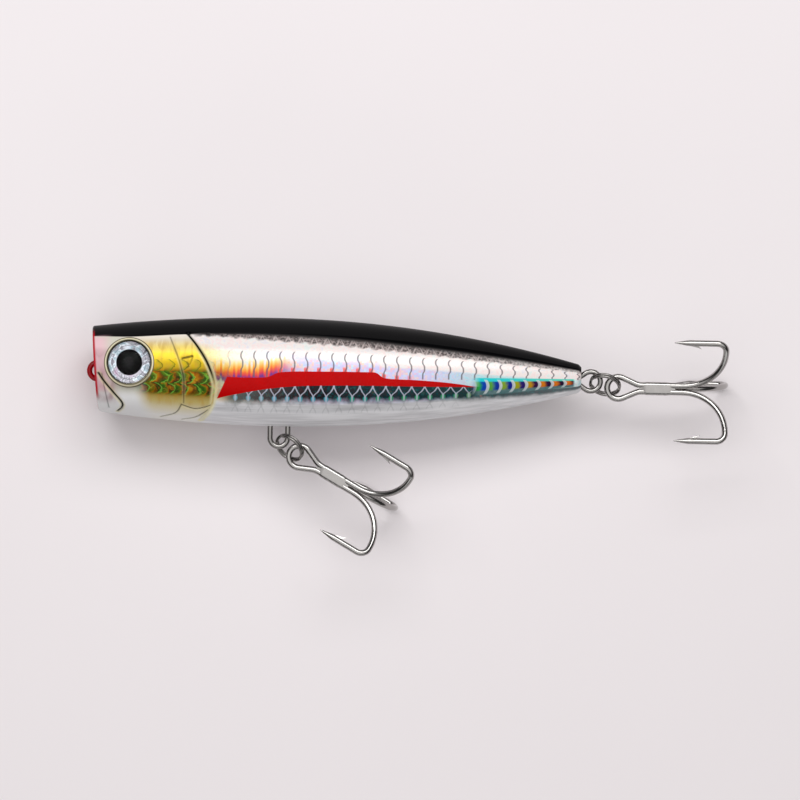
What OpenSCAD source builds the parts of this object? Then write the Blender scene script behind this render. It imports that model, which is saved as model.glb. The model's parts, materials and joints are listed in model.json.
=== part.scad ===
// Topwater popper: a two-part hollow body with a cupped mouth, wire eyes, split rings and two treble hooks.
// The lure lies on its right side: X runs from nose to tail, +Y to the back, +Z up out of the left flank.
// The shared frame has its origin on the table, under the middle of everything seen from above.
// Inside the modules x is measured from the nose and y from the body's own axis, with z = 0 on the seam.

/* [Body] */
// Length of the moulded body, nose to tail
body_length = 90; // [88:0.5:94]
// Largest radius of the body
girth_radius = 10; // [9.6:0.1:10.6]
// Distance from the nose to the thickest section
girth_x = 34; // [32:0.5:36]
// Radius the body would have at the nose without its rounded lip
nose_radius = 7.8; // [7.6:0.1:8]
// Radius the body would have at the tail without its rounded end
tail_radius = 2.5; // [2.4:0.05:2.8]
// Thickness of the moulded wall
wall = 1.5; // [1.2:0.1:1.8]

/* [Mouth] */
// How far the mouth plane leans, upper lip forward
mouth_rake = 5.0; // [3:0.1:6]
// Radius of the cup at the lip
cup_radius = 6.4; // [6:0.1:6.5]
// Depth of the cup
cup_depth = 4.5; // [4:0.1:4.8]

/* [Eyes] */
// Distance from the nose to the eye's centre
eye_x = 6.8; // [6.5:0.1:7]
// Height of the eye above the body's axis
eye_height = 1.3; // [1:0.05:2]
// Radius of the round socket
socket_radius = 4.05; // [3.9:0.05:4.1]

/* [Wire] */
// Thickness of the line tie and hanger wire
hanger_wire = 1.0; // [0.9:0.05:1.05]
// Thickness of the hook wire
hook_wire = 1.14; // [1:0.02:1.16]
// Radius of a hook's main bend
hook_main_bend = 8.1; // [7.5:0.1:8.1]

/* [Hidden] */
$fn = 48;
smooth = 720;
fit_gap = 0.05;

// Body
mouth_x = 0.45;
lip_round = 1.2;
lip_round_radius = nose_radius - 0.85;
lip_round_x = 1.05;
tail_round_radius = 3.34;
tail_round_x = body_length - 2.6;
front_arc = (pow(girth_x, 2) + pow(girth_radius - nose_radius, 2)) / (2 * (girth_radius - nose_radius));
rear_span = body_length - girth_x;
rear_arc = (pow(rear_span, 2) + pow(girth_radius - tail_radius, 2)) / (2 * (girth_radius - tail_radius));
cup_sphere = (pow(cup_radius, 2) + pow(cup_depth, 2)) / (2 * cup_depth);
chambers = [[13, 28], [41, 61], [77, 81.5]];
pins = [[11, 5], [11, -5], [30.5, -1.6], [38.5, -1.6], [69, 4.9], [69, -4.9]];
pin_radius = 1.0;
pin_reach = 1.8;

// Eyes
eye_radius_there = girth_radius - front_arc + sqrt(pow(front_arc, 2) - pow(girth_x - eye_x, 2));
eye_roll = asin(eye_height / eye_radius_there);
eye_lean = asin((girth_x - eye_x) / front_arc);
socket_depth = 1.45;
rim_radius = 4.65;
rim_foot_radius = 5.1;
rim_height = 0.1;
rim_foot = 2;
cup_height = 0.75;
foil_radius = 3.6;
foil_thickness = 0.15;
foil_sink = 0.25;
lens_height = 1.15;

// Line tie and hangers; the legs lie on the wire line, a little below the body's axis
wire_line = -0.45;
leg_pitch = hanger_wire + 0.04;
leg_lean = 35;
leg_ease = 0.8;
foot_bend = 0.8;
foot_length = 0.8;
tie_x = 0.9;
tie_loop = 1.55;
tie_leg = 5.1;
tail_loop_x = 91.8;
tail_loop = 1.78;
tail_leg = 3.0;
belly_loop_x = 34.5;
belly_loop_y = -12.1;
belly_loop = 1.62;
belly_leg = 6.0;
pocket = hanger_wire + 2 * fit_gap;
tie_pocket_x = 3.5;
tail_pocket_x = body_length + 1;
tail_mouth = 2;
tail_mouth_spread = 3.1;
belly_pocket_y = -girth_radius - 1;

// Split rings: two turns of flattened wire, tilted so that they pass through both eyes
ring_radius = 2.7;
ring_wire = 0.28;
ring_half_pitch = 0.24;
ring_tilt = 52;
ring_offset = 2.7;

// Treble hooks: one wire makes the eye and two hooks, a second wire the third hook
eye_offset = 2.5;
hook_eye = 2.05;
hook_eye_lean = 24;
hook_eye_ease = 3;
shank_pitch = hook_wire + 0.06;
shank_length = 7.5;
single_start = 4.7;
single_drop = sqrt(pow(shank_pitch, 2) - pow(shank_pitch / 2, 2));
tip_bend = 1.65;
spear_length = 5.05;
point_length = 2.8;
point_radius = 0.06;
barb_height = 1.05;
barb_length = 2.2;
single_main_bend = hook_main_bend - 0.5;
hook_roll = 6;
hook_eye_span = hook_eye * sin(hook_eye_lean) + hook_eye_ease * sin(hook_eye_lean)
    + hook_eye_slant() * cos(hook_eye_lean);
single_reach = single_drop + single_main_bend + tip_bend + hook_wire / 2;
table_gap = 0.1;
hook_slope = asin((single_reach * cos(hook_roll) - girth_radius + table_gap)
    / (hook_eye_span + shank_length + single_main_bend - tip_bend - spear_length));
tail_bearing = -12;
tail_hook_bearing = 0;
belly_bearing = -41;
belly_hook_bearing = -29.75;

// Weights
rattle_radius = 2.5;
rattle_bore = 2.8;
rattle_from = 29.6;
rattle_to = 39.4;
rattle_y = 3.2;
weight_radius = 3.0;
weight_bore = 3.15;
weight_from = 62;
weight_to = 74.4;

// Middle of the whole lure in plan
plan_x = 58.3;
plan_y = -11.6;

// Straight run of the eye's slanting legs, so that they end beside each other
function slant(loop, lean, ease, pitch) = (loop * cos(lean) - ease * (1 - cos(lean)) - pitch / 2) / sin(lean);
// How far a closed hanger eye's legs have come from the loop's centre when they straighten
function closed_span(loop) = (loop + leg_ease) * sin(leg_lean)
    + slant(loop, leg_lean, leg_ease, leg_pitch) * cos(leg_lean);
function hook_eye_slant() = slant(hook_eye, hook_eye_lean, hook_eye_ease, shank_pitch);
function tail_loop_centre() = [tail_loop_x, wire_line, 0];
function belly_loop_centre() = [belly_loop_x, belly_loop_y, 0];

// ---- Placing ----

module in_frame() {
    translate([-plan_x, -plan_y, girth_radius]) children();
}

module at_mouth() {
    translate([mouth_x, 0, 0]) rotate([0, 0, mouth_rake]) children();
}

// The eye's own frame: z points out of the flank from where the eye's axis meets it
module at_eye() {
    translate([eye_x, 0, 0]) rotate([-eye_roll, 0, 0]) translate([0, 0, eye_radius_there])
        rotate([0, -eye_lean, 0]) children();
}

module on_right() {
    mirror([0, 0, 1]) children();
}

module along_x() {
    rotate([0, 90, 0]) children();
}

// ---- Wire bending: each step leaves its children at the end of the wire, heading along x ----

// A short collar, a hair thicker than the wire, closes the joint between two steps
module next_step() {
    if ($children > 0) {
        along_x() cylinder(d = $wire * 1.02, h = 0.1, center = true);
        children();
    }
}

module run(length) {
    along_x() cylinder(d = $wire, h = length);
    translate([length, 0, 0]) next_step() children();
}

module bend(radius, angle) {
    translate([0, radius, 0]) rotate([0, 0, -90]) rotate_extrude(angle = angle)
        translate([radius, 0]) circle(d = $wire);
    translate([0, radius, 0]) rotate([0, 0, angle]) translate([0, -radius, 0]) next_step() children();
}

module bend_right(radius, angle) {
    mirror([0, 1, 0]) bend(radius, angle) mirror([0, 1, 0]) children();
}

// The loop of an eye opening towards -x; both of its ends carry on as a leg leaning in by the given angle
module wire_eye(loop, lean) {
    rotate([0, 0, -90 - lean]) rotate_extrude(angle = 180 + 2 * lean) translate([loop, 0]) circle(d = $wire);
    both_halves() rotate([0, 0, 90 + lean]) translate([loop, 0, 0]) rotate([0, 0, 90]) next_step() children();
}

// The legs of a closed eye slant in and then straighten side by side
module closed_eye(loop, lean, ease, pitch) {
    wire_eye(loop, lean) run(slant(loop, lean, ease, pitch)) bend_right(ease, lean) children();
}

module both_halves() {
    children();
    mirror([0, 1, 0]) children();
}

// ---- Body ----

module front_outline(inset, from) {
    intersection() {
        translate([girth_radius - front_arc, girth_x]) circle(r = front_arc - inset, $fn = smooth);
        translate([0, from]) square([girth_radius + 1, girth_x - from]);
    }
}

module rear_outline(inset, to) {
    intersection() {
        translate([girth_radius - rear_arc, girth_x]) circle(r = rear_arc - inset, $fn = smooth);
        translate([0, girth_x]) square([girth_radius + 1, to - girth_x]);
    }
}

module tail_rounding() {
    difference() {
        translate([1, tail_round_x + 0.9]) square([girth_radius, 3]);
        translate([0, tail_round_x]) circle(r = tail_round_radius, $fn = 96);
    }
}

module body_solid() {
    along_x() rotate_extrude($fn = 96) front_outline(0, -1);
    along_x() rotate_extrude($fn = 96) difference() {
        rear_outline(0, body_length);
        tail_rounding();
    }
}

// Everything in front of the mouth plane, the cup behind it and the rounding round the lip, in one turning
module mouth_cut() {
    at_mouth() along_x() rotate([0, 0, 125]) rotate_extrude($fn = 96) {
        translate([0, -6]) square([14, 6]);
        intersection() {
            translate([0, cup_depth - cup_sphere]) circle(r = cup_sphere, $fn = 96);
            translate([0, -1]) square([cup_sphere, cup_depth + 2]);
        }
        difference() {
            translate([lip_round_radius, -1]) square([5, 1 + lip_round_x]);
            translate([lip_round_radius, lip_round_x]) circle(r = lip_round);
        }
    }
}

module chamber(span) {
    along_x() rotate_extrude($fn = 96) intersection() {
        union() {
            if (span[1] < girth_x) front_outline(wall, -1);
            if (span[1] > girth_x) rear_outline(wall, body_length);
        }
        translate([0, span[0]]) square([girth_radius, span[1] - span[0]]);
    }
}

module weight_bores() {
    translate([rattle_from, rattle_y, 0]) along_x() cylinder(r = rattle_bore, h = rattle_to - rattle_from);
    translate([weight_from, 0, 0]) along_x() cylinder(r = weight_bore, h = weight_to - weight_from);
}

module eye_rim() {
    at_eye() translate([0, 0, -rim_foot]) cylinder(r1 = rim_foot_radius, r2 = rim_radius, h = rim_foot + rim_height);
}

module eye_socket() {
    at_eye() translate([0, 0, -socket_depth]) cylinder(r = socket_radius, h = socket_depth + 3);
}

module outer_form() {
    difference() {
        union() {
            body_solid();
            eye_rim();
        }
        mouth_cut();
        eye_socket();
    }
}

// The half above the seam, with everything both halves share
module half_shell() {
    difference() {
        intersection() {
            outer_form();
            translate([-2, -15, 0]) cube([body_length + 4, 30, 15]);
        }
        for (span = chambers) {
            chamber(span);
        }
        weight_bores();
        wire_pockets();
    }
}

module left_shell() {
    color("#2b2e36") {
        half_shell();
        for (p = pins) {
            translate([p[0], p[1], -pin_reach]) cylinder(r = pin_radius, h = pin_reach + 0.5);
        }
    }
}

module right_shell() {
    color("#c9ccd4") difference() {
        on_right() half_shell();
        for (p = pins) {
            translate([p[0], p[1], -pin_reach - 0.2]) cylinder(r = pin_radius + fit_gap, h = pin_reach + 1);
        }
    }
}

// ---- Line tie and hangers ----

// Each wire ends in two feet bent outwards, which lock it in its pocket between the shells
module foot() {
    bend_right(foot_bend, 90) run(foot_length);
}

module line_tie() {
    color("#a3262a") translate([tie_x, wire_line, 0]) rotate([0, 0, 180])
        closed_eye(tie_loop, leg_lean, leg_ease, leg_pitch, $wire = hanger_wire) run(tie_leg) foot();
}

module tail_hanger() {
    color("#b9bcc2") translate(tail_loop_centre())
        closed_eye(tail_loop, leg_lean, leg_ease, leg_pitch, $wire = hanger_wire) run(tail_leg) foot();
}

// The belly wire is a plain U, so its legs stay as far apart as the loop is wide
module belly_hanger() {
    color("#b9bcc2") translate(belly_loop_centre()) rotate([0, 0, -90])
        wire_eye(belly_loop, 0, $wire = hanger_wire) run(belly_leg) foot();
}

// Pocket for a pair of legs along x, ending in a slot for their feet
module wire_pocket(leg_span, leg_spread) {
    foot_reach = leg_spread + 2 * (foot_bend + foot_length + fit_gap);
    for (side = [-1, 1]) {
        translate([0, side * leg_spread / 2 - pocket / 2, -pocket / 2]) cube([leg_span, pocket, pocket]);
    }
    translate([leg_span - pocket, -foot_reach / 2, -pocket / 2]) cube([pocket, foot_reach, pocket]);
}

module wire_pockets() {
    translate([tie_pocket_x, wire_line, 0])
        wire_pocket(tie_x - tie_pocket_x + closed_span(tie_loop) + tie_leg + foot_bend + pocket / 2, leg_pitch);
    translate([tail_pocket_x, wire_line, 0]) rotate([0, 0, 180])
        wire_pocket(tail_pocket_x - tail_loop_x + closed_span(tail_loop) + tail_leg + foot_bend + pocket / 2,
            leg_pitch);
    translate([tail_pocket_x - tail_mouth, wire_line - tail_mouth_spread / 2, -pocket / 2])
        cube([tail_mouth, tail_mouth_spread, pocket]);
    translate([belly_loop_x, belly_pocket_y, 0]) rotate([0, 0, 90])
        wire_pocket(belly_loop_y - belly_pocket_y + belly_leg + foot_bend + pocket / 2, 2 * belly_loop);
}

// ---- Eyes ----

module eye_cup() {
    color("#141416") at_eye() translate([0, 0, -socket_depth + fit_gap]) difference() {
        cylinder(r = socket_radius - fit_gap, h = cup_height);
        translate([0, 0, cup_height - foil_sink]) cylinder(r = foil_radius + fit_gap, h = 1);
    }
}

module eye_foil() {
    color("#dfe3ea") at_eye() translate([0, 0, -socket_depth + fit_gap + cup_height - foil_sink + 0.02])
        cylinder(r = foil_radius, h = foil_thickness);
}

module eye_lens() {
    base = socket_radius - fit_gap;
    lens_sphere = (pow(base, 2) + pow(lens_height, 2)) / (2 * lens_height);
    color("#f2f4f8") at_eye() translate([0, 0, -socket_depth + 2 * fit_gap + cup_height]) intersection() {
        cylinder(r = base + 1, h = lens_height + 1);
        translate([0, 0, lens_height - lens_sphere]) sphere(r = lens_sphere, $fn = 96);
    }
}

module left_eye_cup() {
    eye_cup();
}

module left_eye_foil() {
    eye_foil();
}

module left_eye_lens() {
    eye_lens();
}

module right_eye_cup() {
    on_right() eye_cup();
}

module right_eye_foil() {
    on_right() eye_foil();
}

module right_eye_lens() {
    on_right() eye_lens();
}

// ---- Split rings ----

module split_ring(loop_centre, bearing) {
    color("#c4c7cc") translate(loop_centre) rotate([0, 0, bearing]) translate([ring_offset, 0, 0])
        rotate([ring_tilt, 0, 0]) rotate_extrude($fn = 96) {
            translate([ring_radius, -ring_half_pitch]) circle(r = ring_wire);
            translate([ring_radius, ring_half_pitch]) circle(r = ring_wire);
        }
}

module belly_split_ring() {
    split_ring(belly_loop_centre(), belly_bearing);
}

module tail_split_ring() {
    split_ring(tail_loop_centre(), tail_bearing);
}

// ---- Treble hooks ----

// The hook's own frame: x along the shank from the eye's centre to the bend, third hook towards -z
module at_hook(loop_centre, bearing, hook_bearing) {
    translate(loop_centre) rotate([0, 0, bearing]) translate([ring_offset + eye_offset, 0, 0])
        rotate([0, 0, hook_bearing - bearing]) rotate([0, -hook_slope, 0]) rotate([hook_roll, 0, 0]) children();
}

module point_and_barb() {
    run(spear_length) along_x() cylinder(r1 = $wire / 2, r2 = point_radius, h = point_length);
    translate([spear_length - barb_length, 0, 0]) linear_extrude(0.45, center = true)
        polygon([[0, barb_height + $wire / 4], [barb_length, $wire / 4], [barb_length * 0.4, 0]]);
}

module hook_bends(main_bend) {
    mirror([0, 1, 0]) bend(main_bend, 90) bend(tip_bend, 90) point_and_barb();
}

module treble_double() {
    color("#d2d4d8") rotate([0, 0, 180])
        closed_eye(hook_eye, hook_eye_lean, hook_eye_ease, shank_pitch, $wire = hook_wire)
            run(shank_length) rotate([-30, 0, 0]) hook_bends(hook_main_bend);
}

module treble_single() {
    color("#d2d4d8") translate([single_start, 0, -single_drop]) rotate([90, 0, 0])
        run(hook_eye_span + shank_length - single_start, $wire = hook_wire) hook_bends(single_main_bend);
}

module belly_treble_double() {
    at_hook(belly_loop_centre(), belly_bearing, belly_hook_bearing) treble_double();
}

module belly_treble_single() {
    at_hook(belly_loop_centre(), belly_bearing, belly_hook_bearing) treble_single();
}

module tail_treble_double() {
    at_hook(tail_loop_centre(), tail_bearing, tail_hook_bearing) treble_double();
}

module tail_treble_single() {
    at_hook(tail_loop_centre(), tail_bearing, tail_hook_bearing) treble_single();
}

// ---- Weights ----

module steel_ball(at, radius) {
    color("#8f949c") translate(at) sphere(r = radius, $fn = 64);
}

module tail_ball_front() {
    steel_ball([weight_from + weight_radius + fit_gap, 0, 0], weight_radius);
}

module tail_ball_rear() {
    steel_ball([weight_to - weight_radius - fit_gap, 0, 0], weight_radius);
}

module rattle_ball() {
    steel_ball([(rattle_from + rattle_to) / 2, rattle_y, 0], rattle_radius);
}

// ---- Nodes ----

in_frame() {
    left_shell();
    right_shell();
    line_tie();
    belly_hanger();
    tail_hanger();
    left_eye_cup();
    left_eye_foil();
    left_eye_lens();
    right_eye_cup();
    right_eye_foil();
    right_eye_lens();
    belly_split_ring();
    tail_split_ring();
    belly_treble_double();
    belly_treble_single();
    tail_treble_double();
    tail_treble_single();
    tail_ball_front();
    tail_ball_rear();
    rattle_ball();
}
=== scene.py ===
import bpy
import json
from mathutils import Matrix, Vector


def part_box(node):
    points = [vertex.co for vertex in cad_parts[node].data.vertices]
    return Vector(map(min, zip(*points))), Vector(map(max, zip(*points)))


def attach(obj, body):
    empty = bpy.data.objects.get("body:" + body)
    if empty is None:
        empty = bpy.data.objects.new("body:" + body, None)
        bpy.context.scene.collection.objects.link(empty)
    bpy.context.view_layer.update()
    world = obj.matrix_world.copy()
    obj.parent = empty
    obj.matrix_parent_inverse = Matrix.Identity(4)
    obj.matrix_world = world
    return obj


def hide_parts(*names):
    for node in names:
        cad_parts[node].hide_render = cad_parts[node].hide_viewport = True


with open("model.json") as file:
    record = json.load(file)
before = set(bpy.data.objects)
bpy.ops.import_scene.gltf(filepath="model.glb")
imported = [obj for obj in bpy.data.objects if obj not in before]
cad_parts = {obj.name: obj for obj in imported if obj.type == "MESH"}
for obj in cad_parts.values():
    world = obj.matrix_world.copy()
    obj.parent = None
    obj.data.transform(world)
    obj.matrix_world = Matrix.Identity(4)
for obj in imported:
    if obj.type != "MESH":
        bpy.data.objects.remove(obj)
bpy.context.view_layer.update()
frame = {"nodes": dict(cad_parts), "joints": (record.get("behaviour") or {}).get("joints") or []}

# A topwater popper lying on its right side: a painted two-part body, wire eyes, split rings and treble hooks.
# Shapes are worked out in the lure's own millimetres, and placed in the frame by place(). x runs from the
# nose, y from the body's axis towards the back, and z out of the left flank.

import json
import math

import bpy
import numpy as np
from mathutils import Matrix, Vector
from mathutils.geometry import delaunay_2d_cdt

MM = 0.001

# Body, as in the CAD model
BODY_LENGTH = 90.0
GIRTH_RADIUS = 10.0
GIRTH_X = 34.0
NOSE_RADIUS = 7.8
TAIL_RADIUS = 2.5
MOUTH_X = 0.45
MOUTH_RAKE = 5.0
CUP_RADIUS = 6.4
CUP_DEPTH = 4.5
LIP_ROUND = 1.2
LIP_ROUND_RADIUS = 6.95
LIP_ROUND_X = 1.05
TAIL_ROUND = 3.34
TAIL_ROUND_X = 87.4
FLANK_START = 0.8
FIRST_STATION = 1.1
HEAD_START = 1
HEAD_END = 28
WALL = 1.5
SEAM_DIP = 0.05
SOCKET_RADIUS = 4.25
SOCKET_DEPTH = 0.85
CHAMBERS = [(13, 28), (41, 61), (77, 81.5)]
BORES = [(29.6, 39.4, 2.8, 3.2), (62, 74.4, 3.15, 0)]  # from x, to x, radius, height above the axis

# Wire eyes
WIRE_LINE = -0.45
HANGER_WIRE = 1.0
LEG_PITCH = HANGER_WIRE + 0.04
LEG_LEAN = 35
LEG_EASE = 0.8
FOOT_BEND = 0.8
FOOT_LENGTH = 0.8
TIE_X = 0.9
TIE_LOOP = 1.55
TIE_LEG = 5.1
TAIL_LOOP = 1.78
TAIL_LEG = 3.0
BELLY_LOOP = 1.62
BELLY_LEG = 6.0

# Split rings
RING_RADIUS = 2.7
RING_WIRE = 0.28
RING_HALF_PITCH = 0.24
RING_TILT = 52
RING_OFFSET = 2.7
RING_START = 200
RING_CROSSING = 38
RING_END_GAP = 6

# Treble hooks
HOOK_WIRE = 1.14
EYE_OFFSET = 2.5
HOOK_EYE = 2.05
HOOK_EYE_LEAN = 24
HOOK_EYE_EASE = 3
SHANK_PITCH = HOOK_WIRE + 0.06
SHANK_LENGTH = 7.5
SINGLE_START = 4.7
SINGLE_DROP = SHANK_PITCH * math.sqrt(0.75)
MAIN_BEND = 8.1
SINGLE_MAIN_BEND = MAIN_BEND - 0.5
TIP_BEND = 1.65
SPEAR_LENGTH = 5.05
POINT_LENGTH = 2.8
POINT_RADIUS = 0.06
POINT_STEPS = 10
BARB_LENGTH = 2.2
BARB_HEIGHT = 1.05
HOOK_SPREAD = 30
HOOK_ROLL = 6
BRAZE_LENGTH = 6.2
BRAZE_SKIN = 0.07
TABLE_GAP = 0.1
BELLY_BEARING = -41
BELLY_HOOK_BEARING = -29.75
TAIL_BEARING = -12
TAIL_HOOK_BEARING = 0

# Scales printed on the flank, one pitch apart. Their two sets of edges lean along the body by (level, shift).
# A level is a height on the flank as a share of the radius there, from -1 at the belly to 1 at the back.
SCALE_PITCH = 2.38
SCALE_PHASE = 34.6
NODE_LEVEL = -0.485
NODE_SHIFT = -0.98
FORWARD_EDGE = [
    (-0.85, -0.3), (-0.72, -0.55), (-0.6, -0.98), (-0.485, -0.98), (-0.335, 0.0), (-0.21, 0.4), (-0.1, 0.0),
    (0.005, 0.0), (0.12, 0.3), (0.185, 0.27), (0.29, -0.09), (0.4, 0.36), (0.47, 0.55), (0.66, 1.35)]
BACKWARD_EDGE = [
    (-0.85, -1.9), (-0.72, -1.5), (-0.6, -0.98), (-0.485, -0.98), (-0.335, -1.6), (-0.24, -1.9), (0.3, -0.2),
    (0.4, 0.32), (0.47, 0.0), (0.66, -0.98)]
HEAD_ROW = 0.235
HEAD_ROW_LEVEL = 0.09

# Where the paint's edges run, as (x, level)
BACK_EDGE = [(0, 0.745), (8.8, 0.68), (17, 0.67), (26, 0.623), (35, 0.563), (45, 0.523), (54, 0.483),
             (63, 0.457), (72, 0.421), (90, 0.4)]
BLACK_EDGE = [(0, 0.745), (8.8, 0.68), (17, 0.69), (26, 0.69), (45, 0.66), (63, 0.61), (90, 0.58)]
# Lower edge of the cream band, which is cream paint with a painted highlight on it
HIGHLIGHT_BAND_EDGE = [(18, 0.438), (26, 0.384), (35, 0.363), (45, 0.226), (54, 0.144), (63, 0.12), (72, 0.067),
              (90, -0.1)]
# Edges of the band under the stripe, a painted dark reflection in the foil
DARK_REFLECTION_TOP = [(24, -0.42), (29, -0.37), (40, -0.23), (57, -0.24), (69.5, -0.28), (84, -0.52), (90, -0.56)]
DARK_REFLECTION_BOTTOM = [(24, -0.6), (29, -0.595), (40, -0.555), (57, -0.563), (69.5, -0.61), (84, -0.72), (90, -0.76)]

# The red stripe's edges and the gill's edge, as (x, y) and (y, x)
STRIPE_TOP = [(20, -0.6), (27.4, -1.09), (31.9, -0.99), (34.7, 0.0), (43, 0.3), (51.7, 0.36), (53.9, -0.69),
              (59.9, -0.92), (66.1, -1.33), (70.7, -1.96), (75, -3.0)]
STRIPE_BOTTOM = [(20, -6.4), (23.0, -5.2), (28.0, -4.0), (34.2, -2.95), (40.2, -2.45), (69.5, -2.05),
                 (75, -1.9)]
GILL_BY_HEIGHT = [(-10, 19.6), (-6, 22.3), (-2.3, 22.6), (1.3, 21.3), (4.4, 19.4), (7, 17.4)]


# ---- Where things are ----

def lure_origin():
    """The point of the body's axis at the nose, from the CAD shell's box."""
    low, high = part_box("left_shell")
    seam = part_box("right_shell")[1].z
    return Vector((high.x - BODY_LENGTH * MM, (low.y + high.y) / 2, seam))


ORIGIN = lure_origin()


def place(points):
    """Lure millimetres to metres in the frame."""
    return np.asarray(points, float) * MM + np.array(ORIGIN)


def joint_place(name):
    """Where a hinge's axis stands, in lure millimetres on the seam."""
    joint = next(j for j in frame["joints"] if j["name"] == name)
    at = (Vector(joint["pos_m"]) - ORIGIN) / MM
    return Vector((at.x, at.y, 0))


def disc_frame(node):
    """Centre and outward direction of a flat round CAD node, in lure millimetres."""
    points = np.array([v.co for v in frame["nodes"][node].data.vertices])
    points = (points - np.array(ORIGIN)) / MM
    centre = (points.min(0) + points.max(0)) / 2
    normal = np.linalg.svd(points - centre)[2][2]
    return centre, normal * np.sign(normal[2])


# ---- Making meshes ----

def add_piece(name, points, faces, body, slot, stands_for, material, sharp=35):
    """A mesh piece from lure millimetres, smooth except across edges sharper than the given angle."""
    mesh = bpy.data.meshes.new(name)
    mesh.from_pydata(place(points).tolist(), [], faces)
    mesh.update()
    mesh.polygons.foreach_set("use_smooth", [True] * len(mesh.polygons))
    mesh.set_sharp_from_angle(angle=math.radians(sharp))
    mesh.materials.append(material)
    piece = bpy.data.objects.new(name, mesh)
    bpy.context.scene.collection.objects.link(piece)
    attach(piece, body)
    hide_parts(*stands_for)
    return piece


def join(parts):
    """One list of points and faces from several."""
    points = []
    faces = []
    for part_points, part_faces in parts:
        start = len(points)
        points.extend(part_points)
        faces.extend([[start + i for i in face] for face in part_faces])
    return points, faces


def grid_faces(rows, columns, closed):
    """Quads of a grid of points stored row by row; a closed grid's last column meets its first."""
    faces = []
    for row in range(rows - 1):
        for column in range(columns if closed else columns - 1):
            beside = (column + 1) % columns
            faces.append([row * columns + column, row * columns + beside,
                          (row + 1) * columns + beside, (row + 1) * columns + column])
    return faces


def capped_grid(rows, columns):
    """Quads of a closed grid, with a face over each of its two ends."""
    last = (rows - 1) * columns
    return grid_faces(rows, columns, True) + [list(range(columns))[::-1], list(range(last, last + columns))]


def circle(centre, across, up, radius, sides):
    """Points round a circle, from across towards up."""
    turns = np.linspace(0, 2 * math.pi, sides, endpoint=False)[:, None]
    return centre + radius * (np.cos(turns) * across + np.sin(turns) * up)


def smooth_line(points, steps=10):
    """More points along a soft curve through the given ones."""
    points = np.asarray(points, float)
    ends = np.vstack([2 * points[0] - points[1], points, 2 * points[-1] - points[-2]])
    t = np.linspace(0, 1, steps, endpoint=False)[:, None]
    curve = []
    for a, b, c, d in zip(ends, ends[1:], ends[2:], ends[3:]):
        curve.append(0.5 * (2 * b + (c - a) * t + (2 * a - 5 * b + 4 * c - d) * t ** 2
                            + (3 * b - a - 3 * c + d) * t ** 3))
    return np.vstack(curve + [points[-1:]])


# ---- Body ----

def arc_radius(span, rise):
    return (span ** 2 + rise ** 2) / (2 * rise)


def body_radius(x):
    """Radius of the body at x, without the lip and the tail rounding."""
    front = arc_radius(GIRTH_X, GIRTH_RADIUS - NOSE_RADIUS)
    rear = arc_radius(BODY_LENGTH - GIRTH_X, GIRTH_RADIUS - TAIL_RADIUS)
    arc = np.where(x < GIRTH_X, front, rear)
    return GIRTH_RADIUS - arc + np.sqrt(arc ** 2 - (x - GIRTH_X) ** 2)


def from_mouth(axial, radial, angle):
    """Body coordinates of points given in the mouth's own leaning frame."""
    lean = math.radians(MOUTH_RAKE)
    y = radial * np.cos(angle)
    return np.stack([MOUTH_X + axial * math.cos(lean) - y * math.sin(lean),
                     axial * math.sin(lean) + y * math.cos(lean),
                     radial * np.sin(angle)], -1)


def mouth_outline():
    """The cup from its middle to its edge, a small easing of that edge, and the flat of the lip."""
    sphere = arc_radius(CUP_RADIUS, CUP_DEPTH)
    radial = CUP_RADIUS * np.sin(np.linspace(0, math.pi / 2, 26))[:-1]
    cup = np.stack([CUP_DEPTH - sphere + np.sqrt(sphere ** 2 - radial ** 2), radial], -1)
    eased = smooth_line([(0.42, CUP_RADIUS - 0.07), (0.1, CUP_RADIUS + 0.05), (0, CUP_RADIUS + 0.32)], 4)
    flat_end = LIP_ROUND_RADIUS + math.sqrt(LIP_ROUND ** 2 - LIP_ROUND_X ** 2)
    return np.vstack([cup[cup[:, 0] > 0.5], eased, [[0, flat_end]]])


def lip_ring(turn, angles):
    """A ring on the lip's rounding, a given turn along it."""
    axial = LIP_ROUND_X - LIP_ROUND * np.cos(turn)
    return from_mouth(axial, LIP_ROUND_RADIUS + LIP_ROUND * np.sin(turn), angles)


def lip_rings(angles):
    """The rounding of the lip, from the flat to where it meets the flank, for every angle round the body."""
    start = math.acos(LIP_ROUND_X / LIP_ROUND)
    low = np.full(len(angles), start)
    high = np.full(len(angles), math.pi / 2)
    for _ in range(30):
        middle = (low + high) / 2
        at = lip_ring(middle, angles)
        outside = np.hypot(at[:, 1], at[:, 2]) > body_radius(at[:, 0])
        high = np.where(outside, middle, high)
        low = np.where(outside, low, middle)
    return [lip_ring(start + (low - start) * share, angles) for share in np.linspace(0.12, 1, 9)]


# Lines moulded into the head, as side views of the left flank
GILL_EDGE = [(17.6, 6.6), (19.4, 4.4), (21.3, 1.3), (22.6, -2.3), (22.5, -4.5), (22.3, -6.0), (21.4, -7.8),
             (20.1, -9.2)]
CHEEK_EDGE = [(14.3, 6.0), (15.7, 2.7), (16.5, 0.3), (17.0, -1.9), (17.0, -6.1)]
FIN_TOP = [(16.6, 2.1), (17.5, 2.35), (18.5, 2.6)]
FIN_FOLD = [(18.5, 2.5), (18.2, 1.4), (17.6, 0.35)]
THROAT_LINES = [[(12.7, -8.7), (15.5, -7.9), (16.6, -6.4)],
                [(16.6, -6.4), (19.2, -7.1), (21.9, -6.5)],
                [(16.6, -9.1), (19.2, -8.6), (21.4, -7.4)]]
MOUTH_LINE = [(1.3, -0.9), (2.3, -2.4), (3.9, -4.3), (5.6, -6.3), (5.6, -7.2), (4.8, -7.9)]
MOUTH_FOLD = [(1.9, -1.0), (2.5, -4.0), (3.2, -7.2)]


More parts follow.
